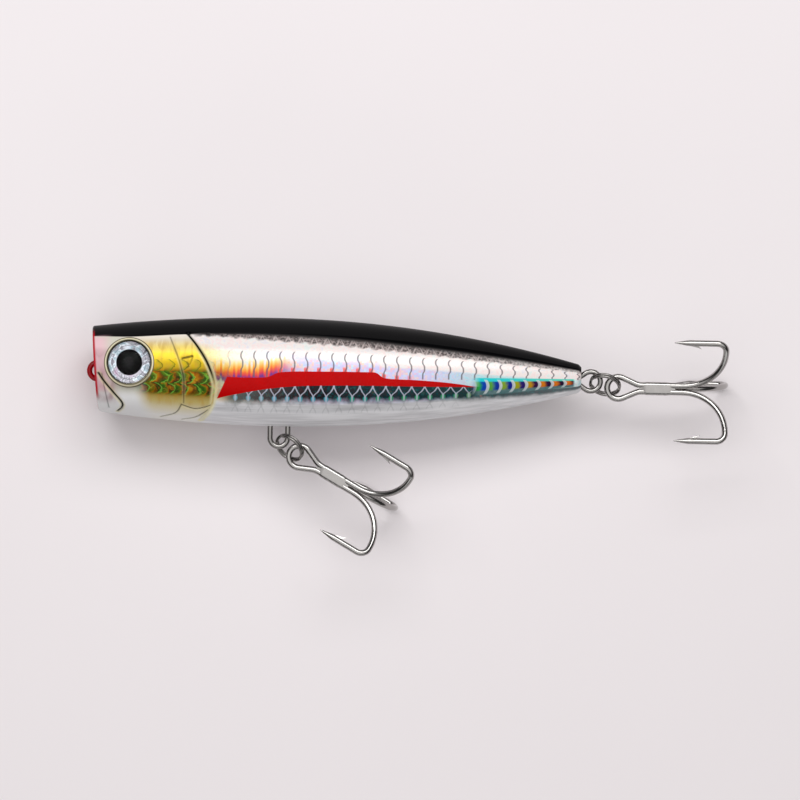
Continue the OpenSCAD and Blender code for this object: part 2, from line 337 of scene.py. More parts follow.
def unrolled(x, y):
    """Side-view points as x and the arc length round the body above the flank line."""
    radius = body_radius(x)
    return np.stack([x, radius * np.arcsin(np.clip(y / radius, -1, 1))], -1)


def distance_to(line, spots):
    """Distance from each unrolled spot to a line given in side view, and the line's height nearest to it."""
    points = smooth_line(line)
    flat = unrolled(points[:, 0], points[:, 1])
    best = np.full(len(spots), 1e9)
    height = np.zeros(len(spots))
    for a, b, y in zip(flat, flat[1:], points[:, 1]):
        along = np.clip((spots - a) @ (b - a) / ((b - a) @ (b - a)), 0, 1)
        gap = np.hypot(*(spots - a - along[:, None] * (b - a)).T)
        height = np.where(gap < best, y, height)
        best = np.minimum(gap, best)
    return best, height


def groove(gap, width):
    return np.exp(-(gap / width) ** 2)


def ease(value, low, high):
    share = np.clip((value - low) / (high - low), 0, 1)
    return share * share * (3 - 2 * share)


def mould(points):
    """Presses the head's lines into the flank. Returns the points, how dark each is inked and how pale."""
    x, y, z = points.T
    radius = np.hypot(y, z)
    spots = np.stack([x, body_radius(x) * (math.pi / 2 - np.arctan2(z, y))], -1)
    head = (x > HEAD_START) & (x < HEAD_END)
    depth = np.zeros(len(points))
    ink = np.zeros(len(points))
    pale = np.zeros(len(points))

    def press(line, width, deep, inked, paled=0.0, ink_from=-99):
        gap, height = distance_to(line, spots[head])
        depth[head] += deep * groove(gap, width)
        dark = inked * groove(gap, width * 0.75) * ease(height, ink_from, ink_from + 4)
        ink[head] = np.maximum(ink[head], dark)
        edge = paled * groove(gap - width, width * 0.9) * (1 - ease(height, 3.5, 5.5))
        pale[head] = np.maximum(pale[head], edge)

    press(GILL_EDGE, 0.3, 0.28, 1.0, paled=0.75, ink_from=-3)
    press(CHEEK_EDGE, 0.17, 0.12, 0.5, paled=0.2)
    press(FIN_TOP, 0.17, 0.14, 1.0)
    press(FIN_FOLD, 0.15, 0.1, 0.4)
    for line in THROAT_LINES:
        press(line, 0.15, 0.14, 0.75, paled=0.3)
    press(MOUTH_LINE, 0.26, 0.3, 0.95, paled=0.5)
    press(MOUTH_FOLD, 0.14, 0.1, 0.5)
    moved = points.copy()
    moved[:, 1:] *= ((radius - depth) / radius)[:, None]
    return moved, ink, pale


def sink_socket(points, centre, normal):
    """Presses the eye's round socket into the flank, to a floor behind the foil."""
    offset = points - centre
    axial = offset @ normal
    radial = np.linalg.norm(offset - axial[:, None] * normal, axis=1)
    inside = (radial < SOCKET_RADIUS) & (points[:, 2] > 1) & (axial > -SOCKET_DEPTH)
    return points - np.where(inside, axial + SOCKET_DEPTH, 0)[:, None] * normal


def flank_stations():
    """Places along the body: close together on the head, wider behind it, close again at the tail."""
    head = np.arange(0, 26, 0.125)
    flank = np.arange(26, 88.4, 0.45)
    tail = np.linspace(88.5, BODY_LENGTH, 10)
    return np.concatenate([head, flank, tail])


def skin_rows(angles):
    """The body's outer skin, row by row from the middle of the cup to the middle of the tail."""
    rows = [from_mouth(np.full(len(angles), axial), np.full(len(angles), radial), angles)
            for axial, radial in mouth_outline()]
    cup_rows = len(rows)
    rows.extend(lip_rings(angles))
    rim = rows[-1]
    around = np.arctan2(rim[:, 2], rim[:, 1])
    stations = flank_stations()
    stations = stations[stations > FIRST_STATION]
    for share in (stations - FLANK_START) / (BODY_LENGTH - FLANK_START):
        x = rim[:, 0] + share * (BODY_LENGTH - rim[:, 0])
        rounding = np.sqrt(np.maximum(TAIL_ROUND ** 2 - (x - TAIL_ROUND_X) ** 2, 0))
        radius = np.where(x > TAIL_ROUND_X, np.minimum(body_radius(x), rounding), body_radius(x))
        rows.append(np.stack([x, radius * np.cos(around), radius * np.sin(around)], -1))
    last = rows[-1]
    rows.extend([last * (1, share, share) for share in (0.6, 0.2)])
    return rows, cup_rows


def hollow(x_from, x_to, radius, height, angles):
    """Half of one hollow in the body, as rows of points from its front wall to its back wall."""
    stations = np.linspace(x_from, x_to, 24)
    outline = [(x_from, 0.02)] + [(x, radius(x)) for x in stations] + [(x_to, 0.02)]
    return [np.stack([np.full(len(angles), x), height + r * np.cos(angles), r * np.sin(angles)], -1)
            for x, r in outline]


def hollows(angles):
    rooms = [hollow(a, b, lambda x: float(body_radius(x)) - WALL, 0, angles) for a, b in CHAMBERS]
    bores = [hollow(a, b, lambda x, r=r: r, height, angles) for a, b, r, height in BORES]
    return rooms + bores


def seam_loop(start, rows, columns):
    """Indices of a grid's rim on the seam: along its first column and back along its last."""
    first = [start + row * columns for row in range(rows)]
    last = [start + row * columns + columns - 1 for row in range(rows)]
    return first + last[::-1]


def seam_faces(points, outer, holes):
    """Triangles of the flat seam face, between the body's outline and its hollows."""
    loops = [outer] + holes
    order = [i for loop in loops for i in loop]
    flat = [Vector((points[i][0], points[i][1])) for i in order]
    faces = []
    start = 0
    for loop in loops:
        faces.append(list(range(start, start + len(loop))))
        start += len(loop)
    made = delaunay_2d_cdt(flat, [], faces, 1, 1e-7)
    triangles = []
    for face, parents in zip(made[2], made[5]):
        if parents == [0]:
            triangles.append([order[made[3][i][0]] for i in face])
    return triangles


def eye_rim(centre, normal):
    """The raised bead round the eye, turned round the eye's own axis."""
    outline = smooth_line([(4.06, -0.75), (4.06, 0.3), (4.1, 0.62), (4.22, 0.8), (4.38, 0.76), (4.52, 0.5),
                           (4.64, 0.0), (4.75, -1.2)], 4)
    across = np.cross(normal, (1, 0, 0))
    across /= np.linalg.norm(across)
    up = np.cross(normal, across)
    sides = 144
    points = []
    for radial, axial in outline:
        points.extend(circle(centre + normal * axial, across, up, radial, sides))
    faces = grid_faces(len(outline), sides, True)
    last = (len(outline) - 1) * sides
    for i in range(sides):
        beside = (i + 1) % sides
        faces.append([last + i, last + beside, beside, i])
    return points, faces


def half_body(centre, normal):
    """Points, faces and paint marks of the left half of the body."""
    angles = np.linspace(0, math.pi, 161)
    rows, cup_rows = skin_rows(angles)
    columns = len(angles)
    skin = np.vstack(rows)
    flank = slice(cup_rows * columns, None)
    ink = np.zeros(len(skin))
    pale = np.zeros(len(skin))
    skin[flank], ink[flank], pale[flank] = mould(skin[flank])
    skin = sink_socket(skin, centre, normal)
    # A hair's breadth of rounding on each side of the seam shows as the line between the halves
    edge = np.zeros((len(rows), columns))
    edge[cup_rows:, [0, -1]] = SEAM_DIP
    edge[cup_rows:, [1, -2]] = SEAM_DIP * 0.3
    reach = np.hypot(skin[:, 1], skin[:, 2])
    skin[:, 1:] *= (1 - edge.ravel() / np.maximum(reach, 1))[:, None]

    points = list(skin)
    faces = grid_faces(len(rows), columns, False)
    outer = seam_loop(0, len(rows), columns)
    holes = []
    inner_angles = angles[::4]
    for rows_inside in hollows(inner_angles):
        start = len(points)
        points.extend(np.vstack(rows_inside))
        faces.extend([[start + i for i in face[::-1]]
                      for face in grid_faces(len(rows_inside), len(inner_angles), False)])
        holes.append(seam_loop(start, len(rows_inside), len(inner_angles)))
    faces.extend(seam_faces(points, outer, holes))

    cup = np.zeros(len(points))
    cup[:cup_rows * columns] = 1
    marks = np.zeros((len(points), 4))
    marks[:, 0] = cup
    marks[:len(skin), 1] = ink
    marks[:len(skin), 2] = pale
    rim_points, rim_faces = eye_rim(centre, normal)
    marks = np.vstack([marks, np.tile([0, 0, 0, 1], (len(rim_points), 1))])
    points, faces = join([(points, faces), (rim_points, rim_faces)])
    return np.array(points), faces, marks


def add_body(material):
    centre, normal = disc_frame("left_eye_foil")
    points, faces, marks = half_body(centre, normal)
    for side, flip in (("left", 1), ("right", -1)):
        sided = [face[::-1] for face in faces] if flip < 0 else faces
        piece = add_piece(side + "_half", points * (1, 1, flip), sided, "lure_body", side + "_shell",
                          [side + "_shell"], material, sharp=50)
        layer = piece.data.color_attributes.new("marks", "FLOAT_COLOR", "POINT")
        layer.data.foreach_set("color", marks.ravel())


# ---- Wire ----

def move(x, y=0, z=0):
    return Matrix.Translation((x, y, z))


def rotate(degrees, axis):
    return Matrix.Rotation(math.radians(degrees), 4, axis)


class Bender:
    """Bends wire step by step. The wire heads along its own x and bends towards its own y."""

    def __init__(self, frame_now):
        self.frame = frame_now
        self.points = [frame_now.translation.copy()]

    def run(self, length, steps=6):
        for _ in range(steps):
            self.frame = self.frame @ move(length / steps)
            self.points.append(self.frame.translation.copy())
        return self

    def bend(self, radius, angle):
        side = 1 if angle > 0 else -1
        steps = max(4, int(abs(angle) / 4))
        centre = move(0, side * radius)
        turn = rotate(angle / steps, "Z")
        for _ in range(steps):
            self.frame = self.frame @ centre @ turn @ centre.inverted()
            self.points.append(self.frame.translation.copy())
        return self

    def roll(self, angle):
        self.frame = self.frame @ rotate(angle, "X")
        return self


def mirrored(start):
    return start @ Matrix.Diagonal((1, -1, 1, 1))


def straight_slant(loop, lean, easing, pitch):
    """Length of a closed eye's slanting legs, so that they end side by side."""
    lean = math.radians(lean)
    return (loop * math.cos(lean) - easing * (1 - math.cos(lean)) - pitch / 2) / math.sin(lean)


def eye_half(start, loop, lean):
    """Half of an eye's loop from its far side, in a frame centred on the eye with the legs towards -x."""
    far_side = start @ move(loop) @ rotate(90, "Z")
    return Bender(far_side).bend(loop, 90 + lean)


def closed_eye_half(start, loop, lean, easing, pitch):
    wire = eye_half(start, loop, lean)
    return wire.run(straight_slant(loop, lean, easing, pitch)).bend(easing, -lean)


def both_ends(make, start):
    """One path from the far end of one leg, round the eye, to the far end of the other."""
    one = make(start).points
    other = make(mirrored(start)).points
    return one[::-1] + other[1:]


def tube(path, radii, sides=20):
    """Points and faces of a round wire along a path, with closed ends."""
    path = [np.array(p) for p in path]
    kept = [0] + [i for i in range(1, len(path)) if np.linalg.norm(path[i] - path[i - 1]) > 1e-6]
    path = [path[i] for i in kept]
    radii = [radii[i] for i in kept]
    aim = [path[min(i + 1, len(path) - 1)] - path[max(i - 1, 0)] for i in range(len(path))]
    aim = [v / np.linalg.norm(v) for v in aim]
    side = np.cross(aim[0], (0.31, 0.2, 0.93))
    points = []
    for spot, heading, radius in zip(path, aim, radii):
        side = side - heading * (side @ heading)
        side /= np.linalg.norm(side)
        over = np.cross(heading, side)
        points.extend(circle(spot, side, over, radius, sides))
    return points, capped_grid(len(path), sides)


def blunt(path):
    """A hanger wire's path and radii, with extra points at its two slightly rounded ends."""
    radius = HANGER_WIRE / 2
    ends = [0.35, 0.7, 0.93]
    reach = [0.0, 0.12, 0.4]

    def cap(spot, neighbour):
        inward = (neighbour - spot).normalized()
        return [spot + inward * r * radius for r in reach]

    head = cap(path[0], path[1])
    tail = cap(path[-1], path[-2])[::-1]
    full = head + path[1:-1] + tail
    radii = [radius * e for e in ends] + [radius] * (len(path) - 2) + [radius * e for e in ends[::-1]]
    return full, radii


def add_wire(name, make, start, material):
    """A wire eye fixed in the body, whose half is drawn by make."""
    path, radii = blunt(both_ends(make, start))
    points, faces = tube(path, radii, 28)
    add_piece(name + "_wire", points, faces, "lure_body", name, [name], material)


def add_wire_eyes(red, bright):
    def foot(wire):
        return wire.bend(FOOT_BEND, -90).run(FOOT_LENGTH)

    def tie(start):
        return foot(closed_eye_half(start, TIE_LOOP, LEG_LEAN, LEG_EASE, LEG_PITCH).run(TIE_LEG))

    def tail(start):
        return foot(closed_eye_half(start, TAIL_LOOP, LEG_LEAN, LEG_EASE, LEG_PITCH).run(TAIL_LEG))

    def belly(start):
        return foot(eye_half(start, BELLY_LOOP, 0).run(BELLY_LEG))

    tie_start = move(TIE_X, WIRE_LINE) @ rotate(180, "Z")
    tail_start = Matrix.Translation(joint_place("tail_ring_swing"))
    belly_start = Matrix.Translation(joint_place("belly_ring_swing")) @ rotate(-90, "Z")
    add_wire("line_tie", tie, tie_start, red)
    add_wire("tail_hanger", tail, tail_start, bright)
    add_wire("belly_hanger", belly, belly_start, bright)


def add_split_ring(end, loop_place, bearing, material):
    """Two turns of flattened wire that step from one layer to the other in a short crossing."""
    crossing = math.radians(RING_CROSSING)
    whole = 4 * math.pi - math.radians(RING_CROSSING + RING_END_GAP)
    sides = 16
    steps = 260
    middle = loop_place + rotate(bearing, "Z") @ Vector((RING_OFFSET, 0, 0))
    to_lure = (Matrix.Translation(middle) @ rotate(bearing, "Z")
               @ rotate(RING_TILT, "X") @ rotate(RING_START, "Z"))
    points = []
    # The wire's section is a flattened round, which thins towards the coil's two cut ends
    for i in range(steps):
        turn = whole * i / (steps - 1)
        layer = ease(turn, 2 * math.pi - crossing, 2 * math.pi) * 2 - 1
        from_end = min(i, steps - 1 - i)
        thin = 0.55 + 0.45 * ease(from_end, 0, 7)
        for side in np.linspace(0, 2 * math.pi, sides, endpoint=False):
            flat = math.copysign(abs(math.sin(side)) ** 0.7, math.sin(side))
            radial = RING_RADIUS + RING_WIRE * 0.98 * math.cos(side) * thin
            axial = RING_HALF_PITCH * layer + (RING_HALF_PITCH - 0.005) * flat * thin
            points.append(to_lure @ Vector((radial * math.cos(turn), radial * math.sin(turn), axial)))
    name = end + "_split_ring"
    faces = capped_grid(steps, sides)
    add_piece(name + "_coil", points, faces, end + "_ring", "split_ring", [name], material)


# ---- Hooks ----

def hook_frame(loop_place, bearing, hook_bearing):
    """The hook's own frame in lure millimetres: x along the shank from the eye, the third hook towards -z."""
    lean = math.radians(HOOK_EYE_LEAN)
    eye_span = (HOOK_EYE + HOOK_EYE_EASE) * math.sin(lean) + math.cos(lean) * straight_slant(
        HOOK_EYE, HOOK_EYE_LEAN, HOOK_EYE_EASE, SHANK_PITCH)
    reach = SINGLE_DROP + SINGLE_MAIN_BEND + TIP_BEND + HOOK_WIRE / 2
    drop = reach * math.cos(math.radians(HOOK_ROLL)) - GIRTH_RADIUS + TABLE_GAP
    point_reach = eye_span + SHANK_LENGTH + SINGLE_MAIN_BEND - TIP_BEND - SPEAR_LENGTH
    slope = math.degrees(math.asin(drop / point_reach))
    at = (Matrix.Translation(loop_place) @ rotate(bearing, "Z") @ move(RING_OFFSET + EYE_OFFSET)
          @ rotate(hook_bearing - bearing, "Z") @ rotate(-slope, "Y") @ rotate(HOOK_ROLL, "X"))
    return at, eye_span


def hook_end(wire, main_bend):
    """The two bends, the spear and the point. The wire's frame stays at the start of the point."""
    wire.bend(main_bend, -90).bend(TIP_BEND, -90).run(SPEAR_LENGTH, 8)
    spear_end = wire.frame.copy()
    wire.run(POINT_LENGTH, POINT_STEPS)
    return spear_end


def point_radii(count):
    """Radii along a wire path that ends in the sharpened point."""
    full = HOOK_WIRE / 2
    taper = [full - (full - POINT_RADIUS) * (i / POINT_STEPS) ** 1.15 for i in range(1, POINT_STEPS + 1)]
    return [full] * (count - POINT_STEPS) + taper


def barb(spear_end):
    """A sliver cut up from the inside of the spear, thin at its tip and sunk into the wire at its root."""
    outline = [
        (-BARB_LENGTH, BARB_HEIGHT + HOOK_WIRE / 4, 0.03), (-BARB_LENGTH * 0.7, HOOK_WIRE * 0.85, 0.13),
        (-BARB_LENGTH * 0.3, HOOK_WIRE * 0.6, 0.2), (0.25, HOOK_WIRE * 0.38, 0.16),
        (-BARB_LENGTH * 0.2, 0, 0.2), (-BARB_LENGTH * 0.66, HOOK_WIRE * 0.5, 0.15)]
    points = []
    for x, y, half in outline:
        for z in (-half, half):
            points.append(spear_end @ Vector((x, -y, z)))
    count = len(outline)
    faces = [[2 * i for i in range(count)][::-1], [2 * i + 1 for i in range(count)]]
    for i in range(count):
        j = (i + 1) % count
        faces.append([2 * i, 2 * j, 2 * j + 1, 2 * i + 1])
    return points, faces


def double_hook(at):
    """One wire: two hooks joined by the eye."""
    turned = at @ rotate(180, "Z")
    parts = []
    halves = []
    for start in (turned, mirrored(turned)):
        wire = closed_eye_half(start, HOOK_EYE, HOOK_EYE_LEAN, HOOK_EYE_EASE, SHANK_PITCH)
        wire.run(SHANK_LENGTH, 8).roll(-HOOK_SPREAD)
        parts.append(barb(hook_end(wire, MAIN_BEND)))
        halves.append(wire.points)
    radii = [point_radii(len(half)) for half in halves]
    path = halves[0][::-1] + halves[1][1:]
    parts.append(tube(path, radii[0][::-1] + radii[1][1:], 24))
    return join(parts)


def braze(at, eye_span):
    """Solder drawn tight round the three shanks like a skin, thinning into the grooves at its ends."""
    shanks = [(30, SHANK_PITCH / 2, 0.0), (150, -SHANK_PITCH / 2, 0.0), (270, 0.0, -SINGLE_DROP)]
    stations = np.linspace(eye_span - 0.5, eye_span + BRAZE_LENGTH, 19)
    points = []
    for i, x in enumerate(stations):
        thinning = 0.3 * (1 - ease(min(i, len(stations) - 1 - i), 0, 4))
        skin = HOOK_WIRE / 2 + BRAZE_SKIN - thinning + 0.012 * math.sin(i * 2.1)
        for facing, y, z in shanks:
            for turn in np.radians(np.linspace(facing - 58, facing + 58, 9)):
                points.append(at @ Vector((x, y + skin * math.cos(turn), z + skin * math.sin(turn))))
    return points, capped_grid(len(stations), len(points) // len(stations))


def single_hook(at, eye_span):
    """The third hook, a wire of its own brazed under the other two."""
    start = at @ move(SINGLE_START, 0, -SINGLE_DROP) @ rotate(90, "X")
    wire = Bender(start).run(0.2, 1).run(eye_span + SHANK_LENGTH - SINGLE_START - 0.2, 10)
    spear_end = hook_end(wire, SINGLE_MAIN_BEND)
    radii = point_radii(len(wire.points))
    radii[0] *= 0.75
    return join([tube(wire.points, radii, 24), barb(spear_end), braze(at, eye_span)])


def add_treble(end, loop_place, bearing, hook_bearing, material):
    name = end + "_treble"
    at, eye_span = hook_frame(loop_place, bearing, hook_bearing)
    for kind, (points, faces) in (("double", double_hook(at)), ("single", single_hook(at, eye_span))):
        add_piece(f"{name}_{kind}_hook", points, faces, name, "treble_" + kind, [f"{name}_{kind}"], material)


# ---- Materials ----

class Signal:
    """A number or colour running through a node tree, so that sums can be written as sums."""

    def __init__(self, nodes, socket):
        self.nodes = nodes
        self.socket = socket

    def math(self, operation, *others):
        return self.nodes.node("ShaderNodeMath", enumerate((self,) + others), operation=operation)

    def __add__(self, other):
        return self.math("ADD", other)

    def __sub__(self, other):
        return self.math("SUBTRACT", other)

    def __rsub__(self, other):
        return self.nodes.node("ShaderNodeMath", enumerate((other, self)), operation="SUBTRACT")

    def __mul__(self, other):
        return self.math("MULTIPLY", other)

    def __truediv__(self, other):
        return self.math("DIVIDE", other)

    __radd__ = __add__
    __rmul__ = __mul__

    def __abs__(self):
        return self.math("ABSOLUTE")

    def sqrt(self):
        return self.math("SQRT")

    def floor(self):
        return self.math("FLOOR")

    def fract(self):
        return self.math("FRACT")

    def at_least(self, other):
        return self.math("MAXIMUM", other)

    def at_most(self, other):
        return self.math("MINIMUM", other)

    def ease(self, low, high):
        """0 below low, 1 above high, and smooth between them."""
        limits = enumerate((self, low, high))
        return self.nodes.node("ShaderNodeMapRange", limits, interpolation_type="SMOOTHSTEP")

    def band(self, low, high, soft):
        """1 between low and high, fading over the soft width outside each."""
        return self.ease(low - soft, low) * (1 - self.ease(high, high + soft))

    def curve(self, points, spread=1.0):
        """A soft curve through (value, result) points, with results within plus or minus spread."""
        first = points[0][0]
        span = points[-1][0] - first
        bent = self.nodes.node("ShaderNodeFloatCurve", {"Value": (self - first) / span})
        mapping = bent.socket.node.mapping
        line = mapping.curves[0].points
        while len(line) < len(points):
            line.new(0.5, 0.5)
        for spot, (at, result) in zip(line, points):
            spot.location = ((at - first) / span, result / spread / 2 + 0.5)
            spot.handle_type = "AUTO_CLAMPED"
        mapping.update()
        return (bent - 0.5) * (2 * spread)

    def ramp(self, stops):
        """The colour at this value along (value, colour) stops."""
        shade = self.nodes.node("ShaderNodeValToRGB", {0: self}, "Color")
        points = shade.socket.node.color_ramp.elements
        while len(points) < len(stops):
            points.new(0.5)
        for point, (at, value) in zip(points, stops):
            point.position = at
            point.color = colour(value)
        return shade


class Nodes:
    """A node tree, with shorthand for adding to it."""

    def __init__(self, tree):
        self.tree = tree

    def node(self, kind, inputs=(), output=0, **properties):
        """The signal out of a new node, whose inputs are given by name or number."""
        made = self.tree.nodes.new(kind)
        for key, value in properties.items():
            setattr(made, key, value)
        for key, value in dict(inputs).items():
            self.feed(made.inputs[key], value)
        return Signal(self, made.outputs[output])

    def feed(self, socket, value):
        if isinstance(value, Signal):
            self.tree.links.new(value.socket, socket)
        else:
            socket.default_value = value

    def split(self, kind, value):
        """The parts of a colour or a vector, by a separating node."""
        return [Signal(self, out) for out in self.node(kind, {0: value}).socket.node.outputs]


class Painter(Nodes):
    """One material's node tree. Its place is in lure millimetres."""

    def __init__(self, name, **settings):
        self.material = bpy.data.materials.new(name)
        self.material.use_nodes = True
        super().__init__(self.material.node_tree)
        self.shader = self.tree.nodes["Principled BSDF"]
        for socket, value in settings.items():
            self.set(socket.replace("_", " ").title().replace("Ior", "IOR"), value)
        spot = self.node("ShaderNodeTexCoord", output="Object")
        shifted = self.node("ShaderNodeVectorMath", {0: spot, 1: ORIGIN}, operation="SUBTRACT")
        self.place = self.node("ShaderNodeVectorMath", {0: shifted, "Scale": 1 / MM}, operation="SCALE")
        self.x, self.y, self.z = self.split("ShaderNodeSeparateXYZ", self.place)

    def set(self, socket, value):
        self.feed(self.shader.inputs[socket], value)

    def mix(self, factor, a, b):
        inputs = {"Factor": factor, "A": colour(a), "B": colour(b)}
        return self.node("ShaderNodeMix", inputs, "Result", data_type="RGBA")

    def noise(self, scale, detail=2, distortion=0.0, stretch=(1, 1, 1)):
        """Noise with scale in waves per millimetre."""
        place = self.node("ShaderNodeVectorMath", {0: self.place, 1: stretch}, operation="MULTIPLY")
        inputs = {"Vector": place, "Scale": scale, "Detail": detail, "Distortion": distortion}
        return self.node("ShaderNodeTexNoise", inputs)

    def side_noise(self, scale, detail=2, distortion=0.0):
        """Noise that is the same through the whole width, as printed from the side."""
        return self.noise(scale, detail, distortion, (1, 1, 0))

    def cell_noise(self, *parts):
        """A random number for each whole-number cell."""
        cell = self.node("ShaderNodeCombineXYZ", enumerate(parts))
        return self.node("ShaderNodeTexWhiteNoise", {"Vector": cell}, "Value", noise_dimensions="3D")

    def marks(self, name):
        """The colour attribute painted on the mesh, as three numbers."""
        return self.split("ShaderNodeSeparateColor",
                          self.node("ShaderNodeAttribute", output="Color", attribute_name=name))

    def eye_polar(self, side):
        """Distance from the eye's centre as seen from the side, and the angle round it."""
        low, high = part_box(side + "_eye_foil")
        middle = ((low + high) / 2 - ORIGIN) / MM
        across = self.x - middle.x
        up = self.y - middle.y
        return (across * across + up * up).sqrt(), up.math("ARCTAN2", across)

    def bump(self, height, distance):
        """Relief in the surface, a distance in millimetres high where the height is 1."""
        inputs = {"Strength": 1.0, "Distance": distance * MM, "Height": height}
        self.set("Normal", self.node("ShaderNodeBump", inputs))


def colour(value):
    """A shader colour from three numbers of 0 to 1 as they look on screen. A signal stays as it is."""
    if isinstance(value, Signal):
        return value
    return tuple(v / 12.92 if v < 0.04045 else ((v + 0.055) / 1.055) ** 2.4 for v in value) + (1.0,)


# Colours as they look on screen
BLACK = (0.03, 0.03, 0.035)
# Cream paint lightened by a painted highlight, as in the band along the upper flank
CREAM_AND_HIGHLIGHT = (0.91, 0.88, 0.855)
PINK = (0.9, 0.72, 0.77)
CRIMSON = (0.72, 0.02, 0.12)


class FlankPaint(Painter):
    """The body's paint. level is the height on the flank, from -1 at the belly to 1 at the back."""

    def __init__(self):
        super().__init__("flank_paint", coat_weight=0.3, coat_roughness=0.05, coat_ior=1.3,
                         specular_ior_level=0.0)
        self.radius = (self.y * self.y + self.z * self.z).sqrt()
        self.level = self.y / self.radius.at_least(0.5)
        self.mouth, self.ink, self.pale = self.marks("marks")
        self.forward = self.level.curve(FORWARD_EDGE, 2)
        backward = self.level.curve(BACKWARD_EDGE, 2)
        self.forward_lines = self.scale_lines(self.forward, 0.2)
        self.backward_lines = self.scale_lines(backward, 0.17)
        self.behind_gill = self.x - self.y.curve(GILL_BY_HEIGHT, 30)

    def along(self, stops):
        """A colour that changes along the body, at shares of its length."""
        return (self.x / BODY_LENGTH).ramp(stops)

    def scale_lines(self, shift, width):
        """Scale edges one pitch apart, moved sideways by a shift that follows the level."""
        share = (self.x - shift - SCALE_PHASE) / SCALE_PITCH
        off = abs((share + 0.5).fract() - 0.5) * SCALE_PITCH
        return 1 - off.ease(width * 0.4, width)

    def paint(self):
        paint = self.foil()
        for layer in (self.warm_columns, self.dark_reflection_band, self.tail_boxes, self.scale_edges, self.head,
                      self.stripe, self.back, self.nose, self.eye_bead):
            paint = layer(paint)
        paint = self.mix(self.pale, paint, (0.9, 0.87, 0.68))
        paint = self.mix((self.ink * 1.3).at_most(1.0), paint, (0.05, 0.045, 0.03))
        paint = self.mix(self.mouth, paint, CRIMSON)
        self.set("Base Color", paint)
        shiny = self.level.band(-0.6, 0.4, 0.12) * self.x.ease(6, 12)
        self.set("Metallic", shiny * 0.12)
        self.set("Roughness", 0.36 - shiny * 0.1 + self.noise(0.6, 3) * 0.05)
        relief = self.forward_lines * self.level.band(-0.55, 0.37, 0.05) * self.x.ease(24, 27)
        self.bump(self.noise(3.0, 3) * 0.12 + relief * 0.3, 0.05)
        return self.material

    def foil(self):
        """Silver foil with painted pastel reflections and a cream band that is partly painted highlight,
        shading to the pearly white belly with painted reflection streaks.
        """
        x = self.x
        level = self.level
        patches = self.noise(0.55, 2, 1.2, (1, 1.6, 0)).ramp([
            (0.3, (0.72, 0.88, 0.9)), (0.42, (0.9, 0.91, 0.93)), (0.5, (0.95, 0.76, 0.8)),
            (0.57, (0.91, 0.92, 0.91)), (0.66, (0.76, 0.78, 0.93)), (0.75, (0.92, 0.89, 0.76))])
        by_x = self.along([
            (0.28, (0.93, 0.86, 0.62)), (0.36, (0.86, 0.88, 0.9)), (0.45, (0.74, 0.74, 0.9)),
            (0.68, (0.66, 0.7, 0.92)), (0.8, (0.5, 0.82, 0.82)), (0.95, (0.68, 0.88, 0.87))])
        paint = self.mix(0.45, by_x, patches)
        # The cream band under the back: cream paint with a painted highlight
        highlight_band_from = x.curve(HIGHLIGHT_BAND_EDGE)
        cream_and_highlight = self.mix(0.3, CREAM_AND_HIGHLIGHT, patches)
        paint = self.mix(level.ease(highlight_band_from - 0.05, highlight_band_from + 0.03), paint, cream_and_highlight)
        # Horizontal streaks on the belly, painted reflections
        reflection_streaks = self.noise(0.35, 2, 0.0, (0.25, 3, 3)).ease(0.35, 0.7)
        pearl = self.mix(reflection_streaks, (0.86, 0.86, 0.87), (0.74, 0.74, 0.75))
        white = self.mix(reflection_streaks, (0.94, 0.94, 0.95), (0.85, 0.85, 0.86))
        belly = self.mix(level.ease(-0.68, -0.78), pearl, white)
        return self.mix(level.ease(-0.5, -0.62), paint, belly)

    def warm_columns(self, paint):
        """Short columns of colour on top of the stripe: purple, red, orange and yellow from the bottom up."""
        column = (self.x * 2.5).floor()
        reach = self.cell_noise(column, 1.0, 5.0)
        foot = self.x.curve(STRIPE_TOP, 4)
        fading = self.x.ease(33, 40)
        tall = 2.6 - fading * 0.9 + reach * 1.1
        share = (self.y - foot) / tall + (self.cell_noise(column, 2.0, 5.0) - 0.5) * 0.25
        warm = share.ramp([
            (0.0, (0.45, 0.1, 0.5)), (0.14, (0.82, 0.12, 0.28)), (0.32, (0.93, 0.38, 0.14)),
            (0.52, (0.95, 0.66, 0.22)), (0.75, (0.95, 0.84, 0.55)), (1.0, (0.93, 0.9, 0.82))])
        faint = self.cell_noise(column, (self.y * 2.5).floor(), 3.0).ramp([
            (0.0, (0.78, 0.78, 0.95)), (0.35, (0.85, 0.8, 0.95)), (0.5, (0.98, 0.72, 0.72)),
            (0.62, (0.99, 0.83, 0.7)), (0.75, (0.75, 0.82, 0.97)), (1.0, (0.8, 0.93, 0.97))])
        shade = self.mix(fading, warm, faint)
        here = share.band(-0.1, 0.75, 0.25) * self.x.ease(21.8, 23.2)
        here = here * (1 - self.x.ease(56, 70))
        paint = self.mix(here * (0.95 - fading * 0.3), paint, shade)
        # A pink dot where each scale edge meets the stripe
        across = ((self.x - SCALE_PHASE) / SCALE_PITCH + 0.5).fract() - 0.5
        dot = 1 - (abs(across) * SCALE_PITCH).ease(0.25, 0.5)
        dot = dot * (self.y - foot).band(-0.5, 0.4, 0.5) * self.x.band(33, 57, 3)
        return self.mix(dot * 0.85, paint, (0.97, 0.3, 0.22))

